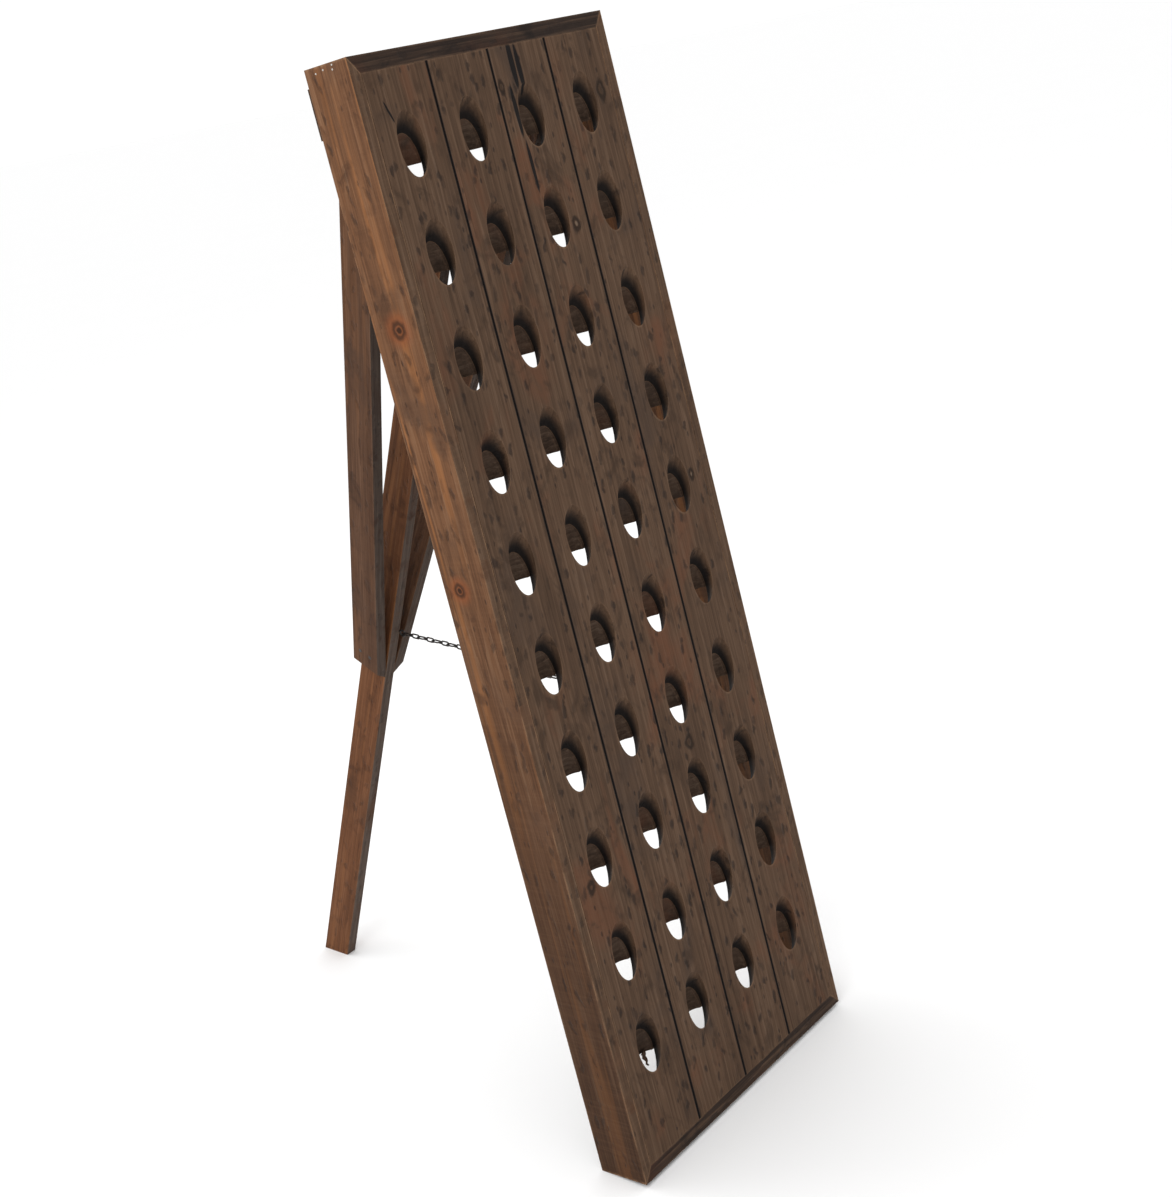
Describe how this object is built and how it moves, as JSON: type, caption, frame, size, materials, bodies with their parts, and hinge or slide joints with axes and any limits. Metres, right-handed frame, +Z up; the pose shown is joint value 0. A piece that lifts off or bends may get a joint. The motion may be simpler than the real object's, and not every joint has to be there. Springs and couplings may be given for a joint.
{
  "type": "riddling rack",
  "caption": "Framed wooden bottle-riddling rack with sloping neck holes, leaning on a folding easel stand held by a short chain.",
  "frame": {"origin": "middle of the footprint on the floor, halfway across the rack and halfway between the board's front and the back of the stand's foot", "axes": "+Z up, -Y towards the front of the rack where the bottles go in, +X to the right of someone facing the front"},
  "size_m": [0.513, 1.0346, 1.6619],
  "materials": {
    "weathered_wood": "weathered, waxed by handling",
    "stile_wood": "weathered, warm brown",
    "batten_wood": "rough sawn, dry",
    "stand_wood": "rough sawn, reddish brown",
    "dark_steel": "dark, lightly rusted",
    "bright_steel": "dull bright"
  },
  "bodies": {
    "board": {"left_stile": "stile_wood", "right_stile": "stile_wood", "top_rail": "weathered_wood", "bottom_rail": "weathered_wood", "plank_1": "weathered_wood", "plank_2": "weathered_wood", "plank_3": "weathered_wood", "plank_4": "weathered_wood", "batten_01": "batten_wood", "batten_02": "batten_wood", "batten_03": "batten_wood", "batten_04": "batten_wood", "batten_05": "batten_wood", "batten_06": "batten_wood", "batten_07": "batten_wood", "batten_08": "batten_wood", "batten_09": "batten_wood", "batten_10": "batten_wood", "hinge_rail": "batten_wood", "left_hinge_rail_leaf": "dark_steel", "right_hinge_rail_leaf": "dark_steel", "left_hinge_pin": "dark_steel", "right_hinge_pin": "dark_steel", "rail_leaf_screws": "dark_steel", "rail_screws": "dark_steel", "batten_screws": "dark_steel", "top_brads": "bright_steel", "board_eye": "dark_steel"},
    "stand": {"stand_head": "stand_wood", "stand_leg": "stand_wood", "left_brace": "stand_wood", "right_brace": "stand_wood", "left_hinge_stand_leaf": "dark_steel", "right_hinge_stand_leaf": "dark_steel", "stand_leaf_screws": "dark_steel", "head_screws": "dark_steel", "brace_screws": "dark_steel", "leg_eye": "dark_steel"},
    "board_chain_half": {"board_chain": "dark_steel"},
    "leg_chain_half": {"leg_chain": "dark_steel"}
  },
  "joints": [
    {"name": "stand_fold", "type": "hinge", "parent": "board", "child": "stand", "pos_m": [0, -0.28203, 1.55831], "axis": [1, 0, 0], "range_deg": [-30.2, 0]},
    {"name": "board_chain_swing", "type": "hinge", "parent": "board", "child": "board_chain_half", "pos_m": [-0.00975, -0.41492, 0.66498], "axis": [1, 0, 0], "range_deg": [-97.07, 0]},
    {"name": "leg_chain_swing", "type": "hinge", "parent": "stand", "child": "leg_chain_half", "pos_m": [0.00975, 0.09177, 0.70102], "axis": [1, 0, 0], "range_deg": [0, 110.13]}
  ],
  "couplings": [
    {"joint": "board_chain_swing", "follows": "stand_fold", "ratio": 3.2142},
    {"joint": "leg_chain_swing", "follows": "stand_fold", "ratio": -3.6467}
  ]
}
